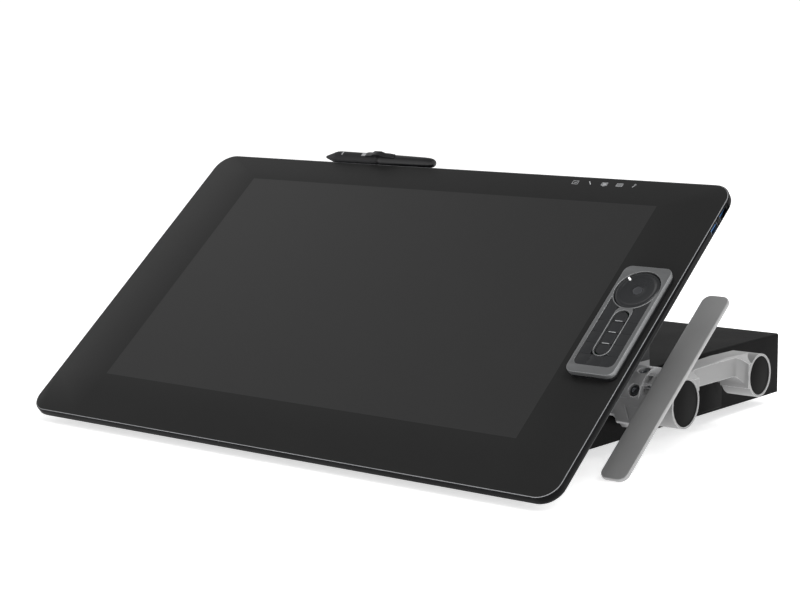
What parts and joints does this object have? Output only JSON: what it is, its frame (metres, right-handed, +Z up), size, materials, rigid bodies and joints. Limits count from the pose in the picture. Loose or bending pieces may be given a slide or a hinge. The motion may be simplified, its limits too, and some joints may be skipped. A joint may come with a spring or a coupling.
{
  "type": "pen drawing tablet",
  "caption": "Pen display with etched glass on a two-arm tilting easel stand, with squeeze levers, a clip-on key remote and a pen in its tray.",
  "frame": {"origin": "on the table, under the middle of the whole object", "axes": "+X to the right of a person at the screen, +Y away from that person, +Z up; the glass faces -Y and up, sloped 39.3 degrees from the table"},
  "size_m": [0.677, 0.5637, 0.2769],
  "materials": {
    "screen_glass": "fine-etched black-printed glass",
    "frame_black": "satin black",
    "cover_black": "fine-textured matte black",
    "panel_black": "dark liquid-crystal panel",
    "circuit_green": "solder mask",
    "socket_steel": "pressed steel",
    "screw_steel": "dark zinc",
    "rubber_black": "matte",
    "plate_steel": "coated steel",
    "bracket_aluminium": "bead-blasted die casting",
    "shaft_steel": "ground steel",
    "lever_grey": "satin anodised dark grey",
    "arm_grey": "bead-blasted die casting",
    "disc_black": "fine-textured",
    "bush_bronze": "sintered bronze",
    "base_black": "powder-coated steel",
    "remote_black": "matte",
    "remote_metal": "satin anodised",
    "key_black": "soft-touch",
    "ring_black": "satin",
    "battery_foil": "foil pouch",
    "pen_rubber": "soft-touch",
    "pen_black": "satin"
  },
  "bodies": {
    "base": {"base_cover": "base_black", "base_plate": "plate_steel", "counterweight": "plate_steel", "base_feet": "rubber_black", "base_screws": "screw_steel", "side_lugs": "base_black", "lift_axles": "shaft_steel", "lift_springs": "shaft_steel"},
    "arms": {"arm_right": "arm_grey", "arm_left": "arm_grey", "arm_end_discs": "disc_black", "arm_bushes": "bush_bronze", "brake_discs": "shaft_steel"},
    "tilt_head": {"tilt_bracket": "bracket_aluminium", "side_plates": "bracket_aluminium", "hinge_clamps": "bracket_aluminium", "clamp_screws": "screw_steel", "turntable": "plate_steel", "tilt_shafts": "shaft_steel", "lever_pins": "shaft_steel"},
    "lever_right": {"release_lever_right": "lever_grey"},
    "lever_left": {"release_lever_left": "lever_grey"},
    "display": {"cover_glass": "screen_glass", "mid_frame": "frame_black", "rear_cover": "cover_black", "lcd_panel": "panel_black", "sensor_board": "circuit_green", "main_board": "circuit_green", "usb_ports": "socket_steel", "port_panel": "cover_black", "display_screws": "screw_steel", "rear_feet": "rubber_black", "pen_tray": "cover_black", "mount_plate": "plate_steel"},
    "power_switch": {"power_button": "cover_black"},
    "remote": {"remote_case": "remote_black", "remote_frame": "remote_metal", "touch_ring": "ring_black", "remote_board": "circuit_green", "remote_battery": "battery_foil"},
    "ring_key": {"ring_button": "ring_black"},
    "pen": {"pen_grip": "pen_rubber", "pen_barrel": "pen_black"},
    "nib": {"pen_nib": "pen_black"},
    "pen_switch": {"pen_side_switch": "pen_black"},
    "key_body_centre_1": {"key_centre_1": "key_black"},
    "key_body_centre_2": {"key_centre_2": "key_black"},
    "key_body_centre_3": {"key_centre_3": "key_black"},
    "key_body_centre_4": {"key_centre_4": "key_black"},
    "key_body_left_1": {"key_left_1": "key_black"},
    "key_body_left_2": {"key_left_2": "key_black"},
    "key_body_left_3": {"key_left_3": "key_black"},
    "key_body_left_4": {"key_left_4": "key_black"},
    "key_body_right_1": {"key_right_1": "key_black"},
    "key_body_right_2": {"key_right_2": "key_black"},
    "key_body_right_3": {"key_right_3": "key_black"},
    "key_body_right_4": {"key_right_4": "key_black"},
    "key_body_bottom_1": {"key_bottom_1": "key_black"},
    "key_body_bottom_2": {"key_bottom_2": "key_black"},
    "key_body_bottom_3": {"key_bottom_3": "key_black"}
  },
  "joints": [
    {"name": "arm_lift", "type": "hinge", "parent": "base", "child": "arms", "pos_m": [0, 0.1095, 0.0636], "axis": [-1, 0, 0], "range_deg": [0, 45]},
    {"name": "display_tilt", "type": "hinge", "parent": "arms", "child": "tilt_head", "pos_m": [0, -0.033, 0.057], "axis": [1, 0, 0], "range_deg": [-33, 45]},
    {"name": "display_turn", "type": "hinge", "parent": "tilt_head", "child": "display", "pos_m": [0, -0.07308, 0.11323], "axis": [0, -0.6334, 0.7738], "range_deg": [-20, 20]},
    {"name": "lever_right_squeeze", "type": "hinge", "parent": "tilt_head", "child": "lever_right", "pos_m": [0.2935, -0.05001, 0.07861], "axis": [0, -0.7859, -0.6184], "range_deg": [0, 8], "stiffness_Nm_per_rad": 1.2, "springref_deg": -14.32},
    {"name": "lever_left_squeeze", "type": "hinge", "parent": "tilt_head", "child": "lever_left", "pos_m": [-0.2935, -0.05001, 0.07861], "axis": [0, 0.7859, 0.6184], "range_deg": [0, 8], "stiffness_Nm_per_rad": 1.2, "springref_deg": -14.32},
    {"name": "power_press", "type": "slide", "parent": "display", "child": "power_switch", "axis": [0, -0.7738, -0.6334], "range_m": [0, 0.0007], "stiffness_N_per_m": 1200, "springref_m": -0.0006},
    {"name": "remote_lift_off", "type": "slide", "parent": "display", "child": "remote", "axis": [0, -0.6334, 0.7738], "range_m": [0, 0.06]},
    {"name": "ring_press", "type": "slide", "parent": "remote", "child": "ring_key", "axis": [0, 0.6334, -0.7738], "range_m": [0, 0.0006], "stiffness_N_per_m": 1200, "springref_m": -0.0006},
    {"name": "pen_lift_off", "type": "slide", "parent": "display", "child": "pen", "axis": [0, -0.6334, 0.7738], "range_m": [0, 0.05]},
    {"name": "nib_press", "type": "slide", "parent": "pen", "child": "nib", "axis": [1, 0, 0], "range_m": [0, 0.0006], "stiffness_N_per_m": 1500, "springref_m": -0.0004},
    {"name": "pen_switch_rock", "type": "hinge", "parent": "pen", "child": "pen_switch", "pos_m": [-0.112, 0.02646, 0.27107], "axis": [0, 0.7738, 0.6334], "range_deg": [-1.2, 1.2], "stiffness_Nm_per_rad": 0.3},
    {"name": "press_centre_1", "type": "slide", "parent": "remote", "child": "key_body_centre_1", "axis": [0, 0.6334, -0.7738], "range_m": [0, 0.0008], "stiffness_N_per_m": 900, "springref_m": -0.0006},
    {"name": "press_centre_2", "type": "slide", "parent": "remote", "child": "key_body_centre_2", "axis": [0, 0.6334, -0.7738], "range_m": [0, 0.0008], "stiffness_N_per_m": 900, "springref_m": -0.0006},
    {"name": "press_centre_3", "type": "slide", "parent": "remote", "child": "key_body_centre_3", "axis": [0, 0.6334, -0.7738], "range_m": [0, 0.0008], "stiffness_N_per_m": 900, "springref_m": -0.0006},
    {"name": "press_centre_4", "type": "slide", "parent": "remote", "child": "key_body_centre_4", "axis": [0, 0.6334, -0.7738], "range_m": [0, 0.0008], "stiffness_N_per_m": 900, "springref_m": -0.0006},
    {"name": "press_left_1", "type": "slide", "parent": "remote", "child": "key_body_left_1", "axis": [0, 0.6334, -0.7738], "range_m": [0, 0.0008], "stiffness_N_per_m": 900, "springref_m": -0.0006},
    {"name": "press_left_2", "type": "slide", "parent": "remote", "child": "key_body_left_2", "axis": [0, 0.6334, -0.7738], "range_m": [0, 0.0008], "stiffness_N_per_m": 900, "springref_m": -0.0006},
    {"name": "press_left_3", "type": "slide", "parent": "remote", "child": "key_body_left_3", "axis": [0, 0.6334, -0.7738], "range_m": [0, 0.0008], "stiffness_N_per_m": 900, "springref_m": -0.0006},
    {"name": "press_left_4", "type": "slide", "parent": "remote", "child": "key_body_left_4", "axis": [0, 0.6334, -0.7738], "range_m": [0, 0.0008], "stiffness_N_per_m": 900, "springref_m": -0.0006},
    {"name": "press_right_1", "type": "slide", "parent": "remote", "child": "key_body_right_1", "axis": [0, 0.6334, -0.7738], "range_m": [0, 0.0008], "stiffness_N_per_m": 900, "springref_m": -0.0006},
    {"name": "press_right_2", "type": "slide", "parent": "remote", "child": "key_body_right_2", "axis": [0, 0.6334, -0.7738], "range_m": [0, 0.0008], "stiffness_N_per_m": 900, "springref_m": -0.0006},
    {"name": "press_right_3", "type": "slide", "parent": "remote", "child": "key_body_right_3", "axis": [0, 0.6334, -0.7738], "range_m": [0, 0.0008], "stiffness_N_per_m": 900, "springref_m": -0.0006},
    {"name": "press_right_4", "type": "slide", "parent": "remote", "child": "key_body_right_4", "axis": [0, 0.6334, -0.7738], "range_m": [0, 0.0008], "stiffness_N_per_m": 900, "springref_m": -0.0006},
    {"name": "press_bottom_1", "type": "slide", "parent": "remote", "child": "key_body_bottom_1", "axis": [0, 0.6334, -0.7738], "range_m": [0, 0.0008], "stiffness_N_per_m": 900, "springref_m": -0.0006},
    {"name": "press_bottom_2", "type": "slide", "parent": "remote", "child": "key_body_bottom_2", "axis": [0, 0.6334, -0.7738], "range_m": [0, 0.0008], "stiffness_N_per_m": 900, "springref_m": -0.0006},
    {"name": "press_bottom_3", "type": "slide", "parent": "remote", "child": "key_body_bottom_3", "axis": [0, 0.6334, -0.7738], "range_m": [0, 0.0008], "stiffness_N_per_m": 900, "springref_m": -0.0006}
  ]
}
